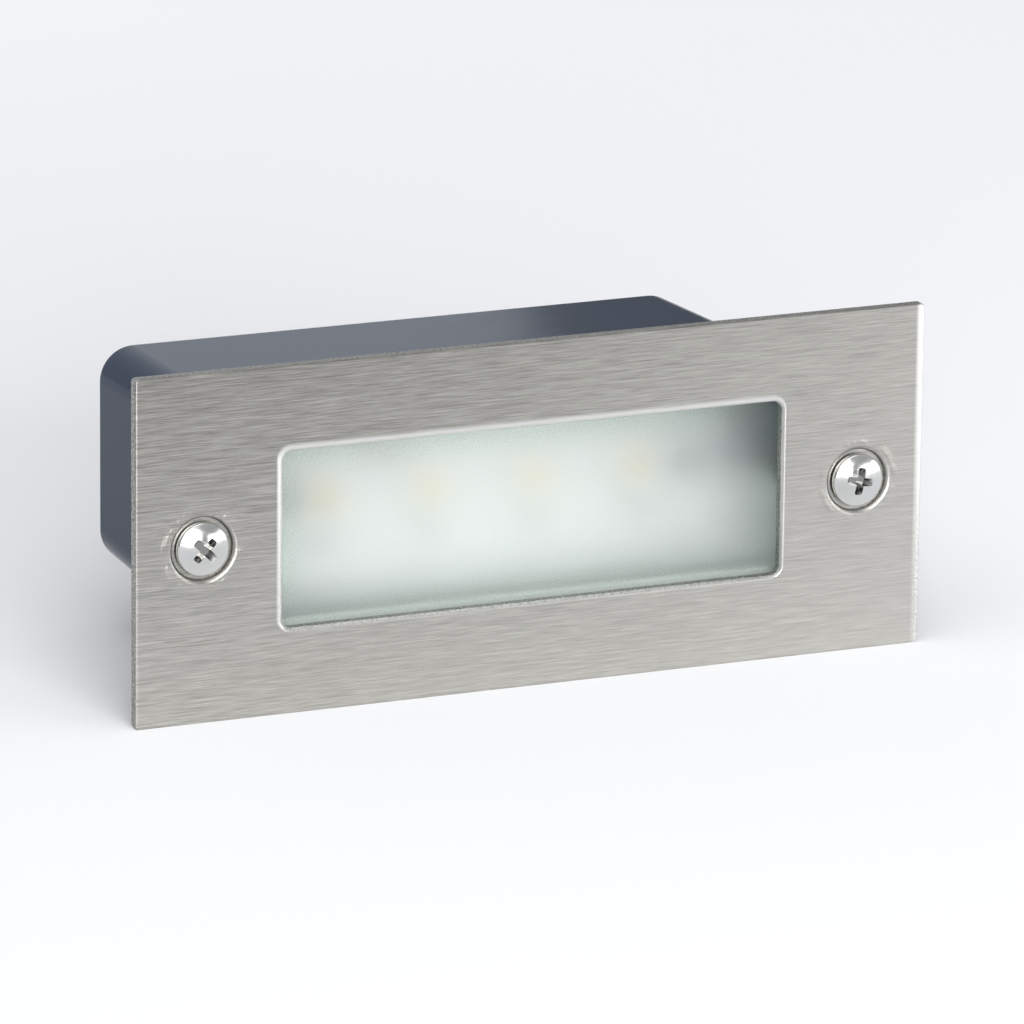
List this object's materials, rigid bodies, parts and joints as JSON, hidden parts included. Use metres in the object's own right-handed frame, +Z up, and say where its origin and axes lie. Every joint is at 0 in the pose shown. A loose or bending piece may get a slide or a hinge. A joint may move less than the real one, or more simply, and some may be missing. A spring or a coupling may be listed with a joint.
{
  "type": "step light",
  "caption": "Recessed wall step light: flat brushed steel faceplate with a frosted glass window, held by cross-head screws to a deep plastic back box.",
  "frame": {"origin": "middle of the back box at the wall's surface, which the rear of the box's flange seats on", "axes": "+X to the right along the faceplate, +Y into the wall, +Z up"},
  "size_m": [0.12, 0.055, 0.05],
  "materials": {
    "back_box": "moulded, glossy dark navy",
    "insert_brass": "knurled",
    "plate_steel": "brushed along its length",
    "gasket_silicone": "matt black",
    "pad_silicone": "matt white",
    "gasket_foam": "matt cellular",
    "window_glass": "frosted behind, polished in front",
    "glue_silicone": "satin black",
    "screw_steel": "polished",
    "washer_rubber": "matt",
    "tray_white": "moulded, satin white",
    "board_white": "solder-mask white",
    "lamp_white": "moulded",
    "phosphor_yellow": "cast gel",
    "chip_black": "moulded",
    "small_screw": "zinc plated",
    "board_green": "solder-mask green",
    "can_sleeve": "shrink sleeve",
    "ferrite": "sintered",
    "copper_wire": "enamelled",
    "film_blue": "dipped",
    "resistor_body": "lacquered",
    "terminal_nylon": "moulded",
    "clamp_brass": "plated",
    "grommet_rubber": "matt",
    "saddle_nylon": "moulded",
    "lead_red": "insulation",
    "lead_black": "insulation",
    "lead_brown": "insulation",
    "lead_blue": "insulation"
  },
  "bodies": {
    "box": {"back_box": "back_box", "threaded_inserts": "insert_brass", "lamp_tray": "tray_white", "rim_pads": "pad_silicone", "tray_screws": "small_screw", "lamp_board": "board_white", "lamp_bodies": "lamp_white", "lamp_phosphors": "phosphor_yellow", "chip_resistors": "chip_black", "lamp_board_screws": "small_screw", "driver_board": "board_green", "driver_screws": "small_screw", "smoothing_capacitor": "can_sleeve", "choke_core": "ferrite", "choke_winding": "copper_wire", "film_capacitor": "film_blue", "fuse_resistor": "resistor_body", "driver_chip": "chip_black", "bridge_rectifier": "chip_black", "terminal_block": "terminal_nylon", "terminal_clamps": "clamp_brass", "clamp_screws": "small_screw", "terminal_fixing_screw": "small_screw", "cable_grommet": "grommet_rubber", "cord_saddle": "saddle_nylon", "saddle_screws": "small_screw", "lamp_lead_plus": "lead_red", "lamp_lead_minus": "lead_black", "supply_lead_live": "lead_brown", "supply_lead_neutral": "lead_blue"},
    "front": {"faceplate": "plate_steel", "face_gasket": "gasket_silicone", "wall_gasket": "gasket_foam", "window_glass": "window_glass", "glass_bead": "glue_silicone"},
    "left_washer": {"left_screw_washer": "washer_rubber"},
    "left_screw": {"left_face_screw": "screw_steel"},
    "right_washer": {"right_screw_washer": "washer_rubber"},
    "right_screw": {"right_face_screw": "screw_steel"}
  },
  "joints": [
    {"name": "front_lift", "type": "slide", "parent": "box", "child": "front", "axis": [0, -1, 0], "range_m": [0, 0.06]},
    {"name": "left_screw_travel", "type": "slide", "parent": "front", "child": "left_washer", "axis": [0, -1, 0], "range_m": [0, 0.0084]},
    {"name": "left_screw_turn", "type": "hinge", "parent": "left_washer", "child": "left_screw", "pos_m": [-0.05, 0, 0], "axis": [0, -1, 0], "range_deg": [0, 4320]},
    {"name": "right_screw_travel", "type": "slide", "parent": "front", "child": "right_washer", "axis": [0, -1, 0], "range_m": [0, 0.0084]},
    {"name": "right_screw_turn", "type": "hinge", "parent": "right_washer", "child": "right_screw", "pos_m": [0.05, 0, 0], "axis": [0, -1, 0], "range_deg": [0, 4320]}
  ],
  "couplings": [
    {"joint": "left_screw_turn", "follows": "left_screw_travel", "rad_per_m": 8976},
    {"joint": "right_screw_turn", "follows": "right_screw_travel", "rad_per_m": 8976}
  ]
}
